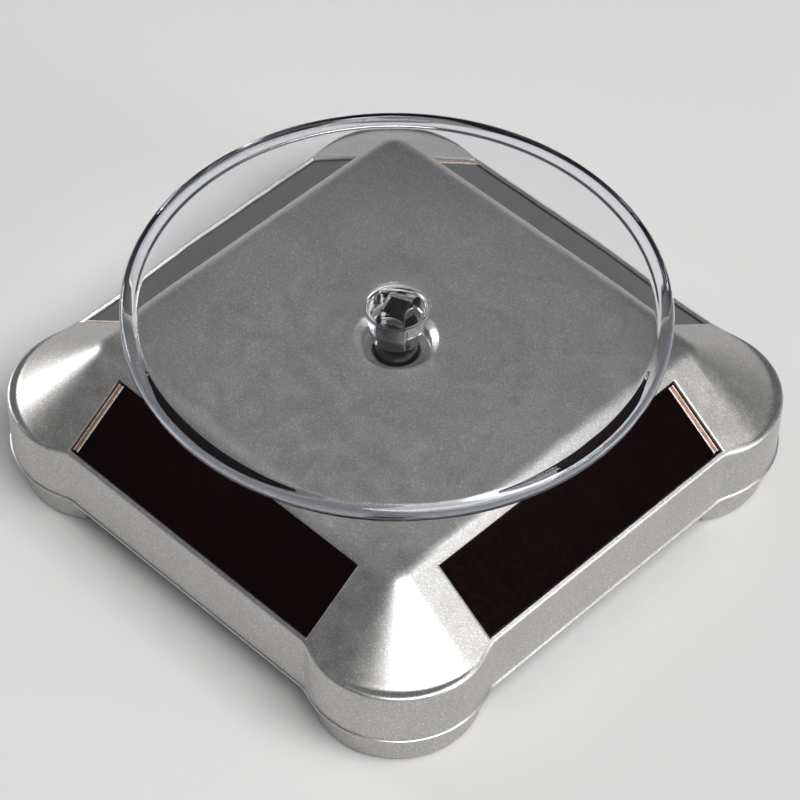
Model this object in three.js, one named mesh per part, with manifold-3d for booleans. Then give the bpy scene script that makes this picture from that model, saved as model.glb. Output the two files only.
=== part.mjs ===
// Rotating display stand: square base with four round corner lobes, four sloping
// solar-cell sides, and a clear disc that sits on a square drive stub.
// Units are millimetres, +Z is up. The origin is the centre of the footprint at the
// surface that the foot pads rest on. The base sides are parallel to X and Y.
import * as THREE from 'three';
import { mergeVertices } from 'three/addons/utils/BufferGeometryUtils.js';
import { ConvexGeometry } from 'three/addons/geometries/ConvexGeometry.js';
import Module from 'manifold-3d';

const wasm = await Module();
wasm.setup();

// ---------------------------------------------------------------- dimensions
const GAP = 0.3;                 // clearance kept between neighbouring pieces

// base outline
const LOBE_C = 35.2;             // lobe centre, from each axis
const LOBE_R_BOTTOM = 15.8;      // lobe radius at the bottom edge of the wall
const LOBE_R_TOP = 15.62;        // lobe radius at the top of the wall
const SIDE_BOTTOM = 49.34;       // half width across the straight sides, bottom
const SIDE_TOP = 49.15;          // half width across the straight sides, top
const FILLET = 6;                // concave fillet between side and lobe
const WALL = 2;                  // shell wall thickness
const LIP = 1;                   // wall thickness beside the bottom cover

// heights
const Z_PAD = 0.5;               // foot underside above the resting surface
const Z_EDGE = 7;                // bottom edge of the housing wall
const Z_COVER_TOP = 9;           // top face of the bottom cover plate
const Z_LEDGE = 18.3;            // crescent ledge on the lobes
const Z_CEILING = 27;            // inside ceiling of the housing

// sloping sides: half width of the outside surface against height
const SLOPE_RUN = 1.3966;        // mm outward for each mm down
const SLOPE_W = 49.93;           // half width of the slope at the ledge height
const CONE_C = 33.2;             // centre of the corner cones
const SHELL_OFFSET = 5.5;        // the inside slope is this much narrower

// top crown, half width and height of each ring
const CROWN = [[36.52, 27.9], [35.4, 28.45], [33.2, 28.9], [22, 29.5], [8, 29.95]];

// solar cells
const CELL_L = 55.2, CELL_W = 13.5, CELL_T = 1.1;
const RECESS_L = 55.8, RECESS_W = 14.1, RECESS_FLOOR = 1.4;
const CELL_OUT = 42.42;          // distance of the cell centre from the Z axis
const CELL_Z = 23.12;            // height of the cell's outer face at its centre
const CELL_ANGLE = Math.atan(1 / SLOPE_RUN);
const WINDOW_L = 14, WINDOW_W = 5;

// centre well
const WELL_R = 5.75, WELL_CHAMFER_R = 7.4, WELL_FLOOR = 27.2, SHAFT_HOLE_R = 4;

// drive shaft
const HUB_R = 3.6, HUB_TOP = 30.6, STUB = 3.6, STUB_TOP = 37.9, STUB_TURN = THREE.MathUtils.degToRad(22);

// platter
const DISC_R = 45.4, DISC_TOP = 40, DISC_UNDER = 37.5, RIM_UNDER = 37, BOSS_R = 4.45, BOSS_BOTTOM = 30.95;
const SOCKET = 4.2, SOCKET_TOP = 38.2;

// feet
const FOOT_C = 35, FOOT_R = 14.15, FOOT_CUT = 27;

// battery bay for one AA cell
const BAY_X = -22.5, BAY_W = 15.6, BAY_L = 52.6, BAY_TOP = 24.6, BAY_WALL = 1.6;

// gear train
const MODULE = 0.4, WHEEL_TEETH = 48, PINION_TEETH = 8, CENTRES = MODULE * (WHEEL_TEETH + PINION_TEETH) / 2;
const O = [0, 0];
const G2 = [0, CENTRES];
const G1 = [CENTRES, CENTRES];
const MOTOR_DIR = THREE.MathUtils.degToRad(-30);
const M = [G1[0] + CENTRES * Math.cos(MOTOR_DIR), G1[1] + CENTRES * Math.sin(MOTOR_DIR)];
const PIN_R = 0.75, BORE_R = 0.95;
const BASE_Z0 = 9.6, BASE_Z1 = 10.8, PLATE_Z0 = 24, PLATE_Z1 = 25.2;
const MOTOR_R = 8.5, MOTOR_Z0 = 14.4, MOTOR_Z1 = 25.4;
const POSTS = [[-8.8, -8.8], [-9.2, 22], [12, -9.5], [22, 20]];
const EARS = [[-9, -13.5], [24, -10], [10, 25]];

// power switch
const SWITCH = [14, 34], SWITCH_TRAVEL = 2.5;

// ------------------------------------------------------------------ helpers
const solid = (geometry) => {
  const g = geometry.clone();
  g.deleteAttribute('normal');
  g.deleteAttribute('uv');
  const m = mergeVertices(g.index ? g.toNonIndexed() : g, 1e-5);
  return new wasm.Manifold(new wasm.Mesh({
    numProp: 3,
    vertProperties: new Float32Array(m.attributes.position.array),
    triVerts: new Uint32Array(m.index.array),
  }));
};
const surface = (manifold) => {
  const mesh = manifold.getMesh();
  const g = new THREE.BufferGeometry();
  g.setAttribute('position', new THREE.BufferAttribute(new Float32Array(mesh.vertProperties), 3));
  g.setIndex(new THREE.BufferAttribute(new Uint32Array(mesh.triVerts), 1));
  g.computeVertexNormals();
  return g;
};
const vec2 = (points) => points.map(([x, y]) => new THREE.Vector2(x, y));
const prism = (points, z0, z1, holes = []) => {
  const s = new THREE.Shape(vec2(points));
  for (const h of holes) s.holes.push(new THREE.Path(vec2(h)));
  return solid(new THREE.ExtrudeGeometry(s, { depth: z1 - z0, bevelEnabled: false }).translate(0, 0, z0));
};
const circle = (cx, cy, r, n, turn = 0) => Array.from({ length: n }, (_, i) => {
  const a = turn + (i / n) * 2 * Math.PI;
  return [cx + r * Math.cos(a), cy + r * Math.sin(a)];
});
const rod = (cx, cy, r, z0, z1, n = 24, turn = 0) => prism(circle(cx, cy, r, n, turn), z0, z1);
const box = (x0, x1, y0, y1, z0, z1) => solid(
  new THREE.BoxGeometry(x1 - x0, y1 - y0, z1 - z0).translate((x0 + x1) / 2, (y0 + y1) / 2, (z0 + z1) / 2));
// solid of revolution about Z through (cx, cy); the profile is [radius, z] pairs
const turned = (profile, n, cx = 0, cy = 0) => solid(
  new THREE.LatheGeometry(vec2(profile), n).rotateX(Math.PI / 2).translate(cx, cy, 0));
const tube = (points, r, steps, sides = 6) => {
  const path = new THREE.CatmullRomCurve3(points.map((p) => new THREE.Vector3(...p)));
  const s = new THREE.Shape(vec2(circle(0, 0, r, sides)));
  return solid(new THREE.ExtrudeGeometry(s, { steps, extrudePath: path, bevelEnabled: false }));
};

// outline of the base: straight sides, concave fillets and round lobes, anticlockwise
const outline = (side, r, fillet, lobeArc = 11, filletArc = 3) => {
  const fx = LOBE_C - Math.sqrt((r + fillet) ** 2 - (side + fillet - LOBE_C) ** 2);
  const fy = -(side + fillet);
  const join = Math.atan2(fy + LOBE_C, fx - LOBE_C);
  const quarter = [];
  for (let i = 0; i <= filletArc; i++) {
    const a = Math.PI / 2 + (join + Math.PI - Math.PI / 2) * (i / filletArc);
    quarter.push([fx + fillet * Math.cos(a), fy + fillet * Math.sin(a)]);
  }
  const mirrorJoin = -Math.PI / 2 - join;
  for (let i = 1; i < lobeArc; i++) {
    const a = join + (mirrorJoin - join) * (i / lobeArc);
    quarter.push([LOBE_C + r * Math.cos(a), -LOBE_C + r * Math.sin(a)]);
  }
  for (let i = filletArc; i >= 0; i--) {
    const a = Math.PI / 2 + (join + Math.PI / 2) * (i / filletArc);
    quarter.push([-(fy + fillet * Math.sin(a)), -(fx + fillet * Math.cos(a))]);
  }
  const all = [];
  for (let k = 0; k < 4; k++) {
    const c = Math.round(Math.cos(k * Math.PI / 2)), s = Math.round(Math.sin(k * Math.PI / 2));
    for (const [x, y] of quarter) all.push([x * c - y * s, x * s + y * c]);
  }
  return all;
};
// extrusion whose outline changes with height; every ring has the same number of points
const drafted = (rings) => {
  const base = rings[0].points;
  const g = new THREE.ExtrudeGeometry(new THREE.Shape(vec2(base)), { depth: rings.length - 1, steps: rings.length - 1, bevelEnabled: false });
  const where = new Map(base.map(([x, y], i) => [`${x.toFixed(4)},${y.toFixed(4)}`, i]));
  const p = g.attributes.position;
  for (let i = 0; i < p.count; i++) {
    const ring = rings[Math.round(p.getZ(i))];
    const j = where.get(`${p.getX(i).toFixed(4)},${p.getY(i).toFixed(4)}`);
    p.setXYZ(i, ring.points[j][0], ring.points[j][1], ring.z);
  }
  return solid(g);
};
// convex body of rounded squares; each ring is [half width, z]
const roundedHull = (rings, centre, n) => {
  const pts = [];
  for (const [w, z] of rings) {
    const r = Math.max(w - centre, 0.3), c = w - r;
    for (let k = 0; k < 4; k++) {
      for (let i = 0; i <= n; i++) {
        const a = (k + i / n) * Math.PI / 2;
        const sx = k === 0 || k === 3 ? 1 : -1, sy = k < 2 ? 1 : -1;
        pts.push(new THREE.Vector3(sx * c + r * Math.cos(a), sy * c + r * Math.sin(a), z));
      }
    }
  }
  return solid(new ConvexGeometry(pts));
};
const slopeWidth = (z) => SLOPE_W - (z - Z_LEDGE) * SLOPE_RUN;
// puts a solid made for the -Y side, in the cell's own frame, on side k
const onSlope = (geometry, k) => geometry
  .rotateX(CELL_ANGLE).translate(0, -CELL_OUT, CELL_Z).rotateZ(k * Math.PI / 2);

// ------------------------------------------------------------- gear outlines
const inv = (a) => Math.tan(a) - a;
const gearOutline = (teeth, shift, centreAngle, addendum, flank = 3) => {
  const alpha = THREE.MathUtils.degToRad(20), backlash = 0.11;
  const rp = MODULE * teeth / 2, rb = rp * Math.cos(alpha);
  const tip = rp + MODULE * (addendum + shift), root = rp - MODULE * (1.25 - shift);
  const half = (MODULE * (Math.PI / 2 + 2 * shift * Math.tan(alpha)) - backlash) / (2 * rp);
  const at = (r) => half + inv(alpha) - (r > rb ? inv(Math.acos(rb / r)) : 0);
  const start = Math.max(rb, root);
  const radii = Array.from({ length: flank }, (_, i) => start + (tip - start) * (i / (flank - 1)));
  if (root < rb - 0.02) radii.unshift(root);
  const pts = [];
  for (let t = 0; t < teeth; t++) {
    const c = centreAngle + (t / teeth) * 2 * Math.PI;
    for (const r of radii) pts.push([r * Math.cos(c - at(r)), r * Math.sin(c - at(r))]);
    for (const r of [...radii].reverse()) pts.push([r * Math.cos(c + at(r)), r * Math.sin(c + at(r))]);
  }
  return pts;
};
const moved = (pts, [x, y]) => pts.map(([a, b]) => [a + x, b + y]);
// angle at which a wheel shows a space, and a pinion a tooth, towards its mate
const towards = (from, to) => Math.atan2(to[1] - from[1], to[0] - from[0]);
const wheel = (at, mate, z0, z1, hole = []) => prism(
  moved(gearOutline(WHEEL_TEETH, -0.5, towards(at, mate) + Math.PI / WHEEL_TEETH, 0.92, 2), at), z0, z1, hole);
const pinion = (at, mate, z0, z1, hole = []) => prism(
  moved(gearOutline(PINION_TEETH, 0.5, towards(at, mate), 0.6, 3), at), z0, z1, hole);

// -------------------------------------------------------------------- scene
const stand = new THREE.Group();
stand.name = 'display_turntable';
const material = (color, roughness, metalness = 0, extra = {}) =>
  new THREE.MeshStandardMaterial({ color, roughness, metalness, ...extra });
const SILVER = material(0xb9b7b4, 0.42, 0.55);
const BLACK_FOAM = material(0x151515, 0.9);
const CELL = material(0x140a0b, 0.12);
const CLEAR = material(0xe6ebf5, 0.05, 0, { transparent: true, opacity: 0.35 });
const HUB_BLACK = material(0x0c0c0d, 0.2);
const STEEL = material(0xb4b6b8, 0.3, 1);
const ZINC = material(0x9a9c9e, 0.35, 1);
const BRASS = material(0xb9964e, 0.35, 1);
const NYLON = material(0xe9e6dc, 0.5);
const GREY_ABS = material(0x6c6d6f, 0.55);
const BLACK_ABS = material(0x1a1a1b, 0.5);
const COPPER = material(0xa8623c, 0.45, 0.8);
const RED_PVC = material(0xb3201c, 0.5);
const BLACK_PVC = material(0x161616, 0.5);
const FERRITE = material(0x3a3838, 0.7);
const add = (name, manifold, mat) => {
  const mesh = new THREE.Mesh(surface(manifold), mat);
  mesh.name = name;
  stand.add(mesh);
};
const cut = (a, ...list) => list.reduce((m, b) => m.subtract(b), a);
const join = (a, ...list) => list.reduce((m, b) => m.add(b), a);

// -------------------------------------------------------------- top housing
{
  const lower = drafted([
    { z: Z_EDGE, points: outline(SIDE_BOTTOM, LOBE_R_BOTTOM, FILLET) },
    { z: Z_LEDGE - 0.5, points: outline(SIDE_TOP, LOBE_R_TOP, FILLET) },
    { z: Z_LEDGE, points: outline(SIDE_TOP - 0.35, LOBE_R_TOP - 0.45, FILLET + 0.4) },
  ]);
  const trim = drafted([
    { z: Z_EDGE + 1, points: outline(SIDE_TOP + 0.12, LOBE_R_TOP, FILLET) },
    { z: Z_LEDGE, points: outline(SIDE_TOP, LOBE_R_TOP - 0.02, FILLET) },
    { z: 31, points: outline(SIDE_TOP, LOBE_R_TOP - 0.02, FILLET) },
  ]);
  const upper = roundedHull([[slopeWidth(12), 12], ...CROWN], CONE_C, 7).intersect(trim);
  let body = lower.add(upper);
  // hollow inside, and the rabbet that takes the bottom cover
  const room = prism(outline(SIDE_TOP - WALL, LOBE_R_TOP - WALL, FILLET + WALL, 5, 1), 5, 28);
  const slopes = roundedHull([
    [slopeWidth(14) - SHELL_OFFSET + 4, 5], [slopeWidth(14) - SHELL_OFFSET, 14],
    [slopeWidth(Z_CEILING) - SHELL_OFFSET, Z_CEILING]], CONE_C - 1, 4);
  const rabbet = prism(outline(SIDE_BOTTOM - LIP, LOBE_R_BOTTOM - LIP, FILLET + LIP, 9, 2), 5, Z_COVER_TOP + GAP);
  body = cut(body, room.intersect(slopes), rabbet);
  // screw posts under the lobes, gearbox bosses and the wall of the centre well
  const posts = [];
  for (const sx of [-1, 1]) for (const sy of [-1, 1]) posts.push(rod(sx * LOBE_C, sy * LOBE_C, 3.2, Z_COVER_TOP + GAP, 25, 10));
  for (const [x, y] of EARS) posts.push(rod(x, y, 2.6, 25.5, 27.8, 8));
  posts.push(rod(0, 0, 7.25, 25.7, 28, 20));
  body = join(body, ...posts);
  for (const sx of [-1, 1]) for (const sy of [-1, 1]) body = body.subtract(rod(sx * LOBE_C, sy * LOBE_C, 1.6, 8, 16.5, 8));
  for (const [x, y] of EARS) body = body.subtract(rod(x, y, 1.35, 24, 28.2, 8));
  body = cut(body,
    turned([[0, WELL_FLOOR], [WELL_R, WELL_FLOOR], [WELL_R, 29], [WELL_CHAMFER_R, 30.1], [WELL_CHAMFER_R, 32], [0, 32]], 32),
    rod(0, 0, SHAFT_HOLE_R, 24, 29, 24));
  // recesses for the four cells, each with a window for the leads
  for (let k = 0; k < 4; k++) {
    body = cut(body,
      solid(onSlope(new THREE.BoxGeometry(RECESS_L, RECESS_W, RECESS_FLOOR + 4).translate(0, 0, 2 - RECESS_FLOOR / 2), k)),
      solid(onSlope(new THREE.BoxGeometry(WINDOW_L, WINDOW_W, 8).translate(0, 0, -3), k)));
  }
  add('top_housing', body, SILVER);
}

// --------------------------------------------------------------- solar cells
const SIDES = ['front_left', 'front_right', 'back_right', 'back_left'];
for (let k = 0; k < 4; k++) {
  const s = new THREE.Shape(vec2([
    [-CELL_L / 2, -CELL_W / 2 + 0.4], [-CELL_L / 2 + 0.4, -CELL_W / 2], [CELL_L / 2 - 0.4, -CELL_W / 2], [CELL_L / 2, -CELL_W / 2 + 0.4],
    [CELL_L / 2, CELL_W / 2 - 0.4], [CELL_L / 2 - 0.4, CELL_W / 2], [-CELL_L / 2 + 0.4, CELL_W / 2], [-CELL_L / 2, CELL_W / 2 - 0.4]]));
  const g = new THREE.ExtrudeGeometry(s, { depth: CELL_T, bevelEnabled: false }).translate(0, 0, -CELL_T);
  add(`solar_cell_${SIDES[k]}`, solid(onSlope(g, k)), CELL);
}

// -------------------------------------------------------------- bottom cover
const footOutline = (r, inset, n = 8) => {
  const low = FOOT_CUT + inset, d = low - FOOT_C;
  const reach = Math.sqrt(r * r - d * d);
  const a0 = Math.atan2(d, reach), a1 = Math.atan2(reach, d);
  const pts = [[low, low]];
  for (let i = 0; i <= n; i++) {
    const a = a0 + (a1 - a0) * (i / n);
    pts.push([FOOT_C + r * Math.cos(a), FOOT_C + r * Math.sin(a)]);
  }
  return pts;
};
const CORNERS = [['front', 1, -1], ['right', 1, 1], ['back', -1, 1], ['left', -1, -1]];
const turnTo = (pts, sx, sy) => {
  const out = pts.map(([x, y]) => [x * sx, y * sy]);
  return sx * sy < 0 ? out.reverse() : out;
};
{
  const edge = { side: SIDE_BOTTOM - LIP - GAP, r: LOBE_R_BOTTOM - LIP - GAP, f: FILLET + LIP + GAP };
  let body = prism(outline(edge.side, edge.r, edge.f, 9, 2), Z_EDGE, Z_COVER_TOP);
  for (const [, sx, sy] of CORNERS) {
    body = body.add(prism(turnTo(footOutline(FOOT_R, 0), sx, sy), Z_PAD, Z_EDGE + 1));
  }
  // battery bay
  const x0 = BAY_X - BAY_W / 2, x1 = BAY_X + BAY_W / 2, y1 = BAY_L / 2;
  body = body.add(box(x0 - BAY_WALL, x1 + BAY_WALL, -y1 - BAY_WALL, y1 + BAY_WALL, Z_EDGE + 1, BAY_TOP + 1.2));
  // switch frame
  const [sx0, sy0] = SWITCH;
  for (const [sx, sy] of CORNERS.map((c) => [c[1], c[2]])) {
    // hollow inside each foot, leaving the screw boss
    const hollow = prism(turnTo(footOutline(FOOT_R - 2.2, 2), sx, sy), 2.6, Z_COVER_TOP + 2)
      .subtract(rod(sx * LOBE_C, sy * LOBE_C, 4.8, 0, 12, 12));
    body = cut(body, hollow,
      rod(sx * LOBE_C, sy * LOBE_C, 3.3, -1, 6.4, 12),
      rod(sx * LOBE_C, sy * LOBE_C, 1.7, -1, 12, 10),
      prism(turnTo(footOutline(FOOT_R - 1.7, 1.7), sx, sy), -1, Z_PAD + 1));
  }
  body = cut(body,
    box(x0, x1, -y1, y1, 5, BAY_TOP),
    box(x0 - 0.9, x1 + 0.9, -y1 - 0.5, y1 + 0.5, 5, Z_COVER_TOP),
    box(BAY_X - 5.4, BAY_X + 5.4, -y1 - 0.6, y1 + 0.6, 11.2, 22.6),
    solid(new THREE.CylinderGeometry(0.95, 0.95, 4, 10).translate(BAY_X, y1 + 1, 21)),
    solid(new THREE.CylinderGeometry(0.95, 0.95, 4, 10).translate(BAY_X, -y1 - 1, 21)),
    box(sx0 - 3.3, sx0 + 3.3, sy0 - 1.9, sy0 + 1.9, 5, 12));
  // finger notch at the end of the battery door
  body = body.subtract(box(BAY_X - 4, BAY_X + 4, y1 + 0.4, y1 + 3, 5, 8));
  add('bottom_cover', body, SILVER);
}
for (const [name, sx, sy] of CORNERS) {
  add(`foot_pad_${name}`, prism(turnTo(footOutline(FOOT_R - 2, 2), sx, sy), 0, Z_PAD + 0.7), BLACK_FOAM);
  add(`case_screw_${name}`, join(
    turned([[0, 3.9], [2.2, 3.9], [2.8, 4.4], [2.8, 6.1], [0, 6.1]], 12, sx * LOBE_C, sy * LOBE_C).subtract(
      join(box(sx * LOBE_C - 1.6, sx * LOBE_C + 1.6, sy * LOBE_C - 0.3, sy * LOBE_C + 0.3, 3, 4.8),
        box(sx * LOBE_C - 0.3, sx * LOBE_C + 0.3, sy * LOBE_C - 1.6, sy * LOBE_C + 1.6, 3, 4.8))),
    turned([[0, 5.8], [1.25, 5.8], [1.25, 14.4], [0, 15.8]], 8, sx * LOBE_C, sy * LOBE_C)), ZINC);
}

// -------------------------------------------------------------- battery door
{
  const w = BAY_W / 2 + 0.6, l = BAY_L / 2 + 0.2;
  let door = box(BAY_X - w, BAY_X + w, -l, l, Z_EDGE, Z_COVER_TOP - GAP);
  // thumb grooves across the outside
  for (let i = 0; i < 4; i++) door = door.subtract(box(BAY_X - 4, BAY_X + 4, 17.5 + i * 1.8, 18.3 + i * 1.8, 6, Z_EDGE + 0.5));
  // ribs that hold the cell
  door = door.add(join(box(BAY_X - 6.6, BAY_X - 5.6, -20, 20, 8.5, 9.8), box(BAY_X + 5.6, BAY_X + 6.6, -20, 20, 8.5, 9.8)));
  add('battery_door', door, SILVER);
}

// --------------------------------------------------------- battery contacts
{
  const y = BAY_L / 2;
  const turns = 4, pts = [];
  for (let i = 0; i <= turns * 8; i++) {
    const t = i / (turns * 8), a = t * turns * 2 * Math.PI, r = 3.6 - 1.5 * t;
    pts.push([BAY_X + r * Math.cos(a), -y + 0.3 + t * 4.2, 16.9 + r * Math.sin(a)]);
  }
  add('battery_spring_contact', join(box(BAY_X - 5, BAY_X + 5, -y - 0.3, -y + 0.1, 11.5, 22.3), tube(pts, 0.3, 40, 4)), STEEL);
  add('battery_flat_contact', join(
    box(BAY_X - 5, BAY_X + 5, y - 0.1, y + 0.3, 11.5, 22.3),
    solid(new THREE.CylinderGeometry(2.6, 2, 0.7, 16).rotateX(Math.PI).translate(BAY_X, y - 0.3, 16.9))), STEEL);
}

// -------------------------------------------------------------- power switch
{
  const [x, y] = SWITCH;
  add('switch_body', cut(
    box(x - 6.2, x + 6.2, y - 3.2, y + 3.2, Z_COVER_TOP + GAP, 14.3),
    box(x - 3.3, x + 3.3, y - 1.9, y + 1.9, 9, 12.2)), BLACK_ABS);
  const rest = x - SWITCH_TRAVEL / 2;
  add('switch_slider', join(
    box(rest - 1.6, rest + 1.6, y - 1.5, y + 1.5, 6, 11.8),
    ...[0, 1, 2].map((i) => box(rest - 1.25 + i, rest - 0.75 + i, y - 1.5, y + 1.5, 5.75, 6.1))), BLACK_ABS);
}

// ------------------------------------------------------------------- gearbox
{
  let base = prism([[-11.3, -9.3], [-9.3, -11.3], [14, -11.3], [24.6, -2], [24.6, 20.5], [22.6, 22.6], [-7, 24.5], [-9.6, 24.5], [-11.6, 22.4]], BASE_Z0, BASE_Z1);
  for (const [x, y] of POSTS) base = join(base, rod(x, y, 1.9, BASE_Z1 - 0.5, PLATE_Z0 - GAP, 8), rod(x, y, 0.85, 23, PLATE_Z1 - 0.2, 6));
  for (const [x, y] of [O, G1, G2]) base = base.add(rod(x, y, 2, BASE_Z1 - 0.3, BASE_Z1 + 0.25, 8));
  for (const [x, y] of [O, G1, G2]) base = base.subtract(rod(x, y, PIN_R + 0.2, 10.1, 12, 10));
  base = base.subtract(rod(M[0], M[1], 2.8, 9, 12, 18));
  add('gearbox_base', base, GREY_ABS);

  let plate = prism([[-11.6, -15], [-9.8, -16.6], [-6.5, -16.4], [22, -13.4], [26.6, -12.2], [30.4, -4], [30.4, 15], [23, 23], [12.6, 28.2], [7, 28.2], [-8, 25.4], [-11.6, 23.5]], PLATE_Z0, PLATE_Z1);
  // cup round the upper half of the motor, open towards the first gear
  const open = towards(M, G1);
  const cup = rod(M[0], M[1], MOTOR_R + 1.4, 16, PLATE_Z0 + 0.4, 28).subtract(
    prism([[M[0], M[1]], ...[-52, 0, 52].map((d) => {
      const a = open + THREE.MathUtils.degToRad(d), k = d === 0 ? 22 : 30;
      return [M[0] + k * Math.cos(a), M[1] + k * Math.sin(a)];
    })], 15, PLATE_Z0));
  plate = cut(join(plate, cup), rod(M[0], M[1], MOTOR_R + GAP, 15, 27, 28), rod(0, 0, HUB_R + 0.25, 23, 27, 32));
  for (const [x, y] of POSTS) plate = plate.subtract(rod(x, y, 1.1, 23, 27, 10));
  for (const [x, y] of EARS) plate = plate.subtract(rod(x, y, 1.3, 23, 27, 12));
  for (const [x, y] of [G1, G2]) plate = plate.subtract(rod(x, y, PIN_R + 0.2, 23, 27, 10));
  add('gearbox_plate', plate, GREY_ABS);

  const pinEnd = (at, z1) => turned([[0, 10.3], [PIN_R, 10.3], [PIN_R, z1 - 0.25], [PIN_R - 0.25, z1], [0, z1]], 12, at[0], at[1]);
  add('gear_pin_first', pinEnd(G1, 25), STEEL);
  add('gear_pin_second', pinEnd(G2, 25), STEEL);
  add('centre_spindle', pinEnd(O, 21), STEEL);
  EARS.forEach(([x, y], i) => add(`gearbox_screw_${i + 1}`, join(
    turned([[0, 22.2], [1.5, 22.2], [1.95, 22.6], [1.95, 23.7], [0, 23.7]], 14, x, y).subtract(
      join(box(x - 1.1, x + 1.1, y - 0.25, y + 0.25, 22, 22.8), box(x - 0.25, x + 0.25, y - 1.1, y + 1.1, 22, 22.8))),
    turned([[0, 23.5], [0.95, 23.5], [0.95, 27.2], [0, 27.9]], 10, x, y)), ZINC));

  const bore = (at) => [circle(at[0], at[1], BORE_R + 0.03, 14).reverse()];
  add('first_gear', join(
    wheel(G1, M, 11.4, 12.8, bore(G1)),
    pinion(G1, G2, 12.6, 16.2, bore(G1)),
    prism(circle(G1[0], G1[1], 1.6, 14), 16, 23.4, bore(G1))), NYLON);
  add('second_gear', join(
    wheel(G2, G1, 14.2, 15.6, bore(G2)),
    pinion(G2, O, 15.4, 19.6, bore(G2)),
    prism(circle(G2[0], G2[1], 1.25, 14), 11.4, 14.4, bore(G2)),
    prism(circle(G2[0], G2[1], 1.6, 14), 19.4, 23.4, bore(G2))), NYLON);
  // output wheel, keyed on a hexagon of the drive shaft
  const hex = (r) => circle(0, 0, r, 6, STUB_TURN);
  add('output_gear', join(
    wheel(O, G2, 17, 18.8, [hex(2.75).reverse()]),
    prism(circle(0, 0, 4.4, 24), 15.9, 17.2, [hex(2.75).reverse()])), NYLON);
  const square = circle(0, 0, STUB / Math.SQRT2, 4, STUB_TURN + Math.PI / 4);
  add('drive_shaft', join(
    prism(hex(2.4), 16.2, 19.4),
    turned([[0, 19.1], [HUB_R, 19.1], [HUB_R, HUB_TOP - 0.2], [HUB_R - 0.2, HUB_TOP], [0, HUB_TOP]], 24),
    prism(square, HUB_TOP - 1, STUB_TOP)).subtract(rod(0, 0, BORE_R + 0.03, 15, 21.6, 14)), HUB_BLACK);
}

// --------------------------------------------------------------------- motor
{
  const [x, y] = M;
  add('motor_can', turned([[1.6, MOTOR_Z0 + 0.2], [2.6, MOTOR_Z0 + 0.2], [3, MOTOR_Z0], [MOTOR_R - 0.8, MOTOR_Z0], [MOTOR_R, MOTOR_Z0 + 0.8], [MOTOR_R, MOTOR_Z1 - 1.2],
    [MOTOR_R - 0.6, MOTOR_Z1 - 1.2], [MOTOR_R - 0.6, MOTOR_Z0 + 1], [1.6, MOTOR_Z0 + 1], [1.6, MOTOR_Z0 + 0.2]], 24, x, y), STEEL);
  add('motor_end_cap', cut(
    turned([[0, MOTOR_Z1 - 0.9], [MOTOR_R - 0.2, MOTOR_Z1 - 0.9], [MOTOR_R - 0.2, MOTOR_Z1 - 0.2], [MOTOR_R - 0.4, MOTOR_Z1], [0, MOTOR_Z1]], 20, x, y),
    rod(x, y, 0.85, 24, MOTOR_Z1 - 0.4, 12),
    box(x + 3.7, x + 5.3, y + 2.1, y + 3.4, 24, 26), box(x + 3.7, x + 5.3, y - 3.4, y - 2.1, 24, 26)), BLACK_ABS);
  add('motor_rotor', join(
    turned([[0, 11.2], [0.5, 11.2], [0.5, MOTOR_Z1 - 0.65], [0, MOTOR_Z1 - 0.65]], 12, x, y),
    prism(circle(x, y, 5.9, 24), 16.2, 21.6).subtract(join(...[0, 1, 2].map((i) => {
      const a = i * 2 * Math.PI / 3;
      return rod(x + 6.2 * Math.cos(a), y + 6.2 * Math.sin(a), 1.1, 15, 23, 10);
    }))),
    rod(x, y, 2, 21.4, 23.8, 14)), COPPER);
  add('motor_pinion', pinion(M, G1, 11.1, 13.6, [circle(x, y, 0.72, 12).reverse()]), BRASS);
  const magnet = (turn) => {
    const pts = [], r0 = 6.5, r1 = 7.5, half = THREE.MathUtils.degToRad(62);
    for (let i = 0; i <= 8; i++) pts.push([x + r1 * Math.cos(turn - half + half * i / 4), y + r1 * Math.sin(turn - half + half * i / 4)]);
    for (let i = 8; i >= 0; i--) pts.push([x + r0 * Math.cos(turn - half + half * i / 4), y + r0 * Math.sin(turn - half + half * i / 4)]);
    return prism(pts, 16, 22);
  };
  add('motor_magnet_1', magnet(0), FERRITE);
  add('motor_magnet_2', magnet(Math.PI), FERRITE);
  for (const [name, s] of [['positive', 1], ['negative', -1]]) {
    add(`motor_terminal_${name}`, box(x + 4, x + 5, y + s * 2.75 - 0.25, y + s * 2.75 + 0.25, 24.6, 26.4), BRASS);
  }
}

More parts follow.
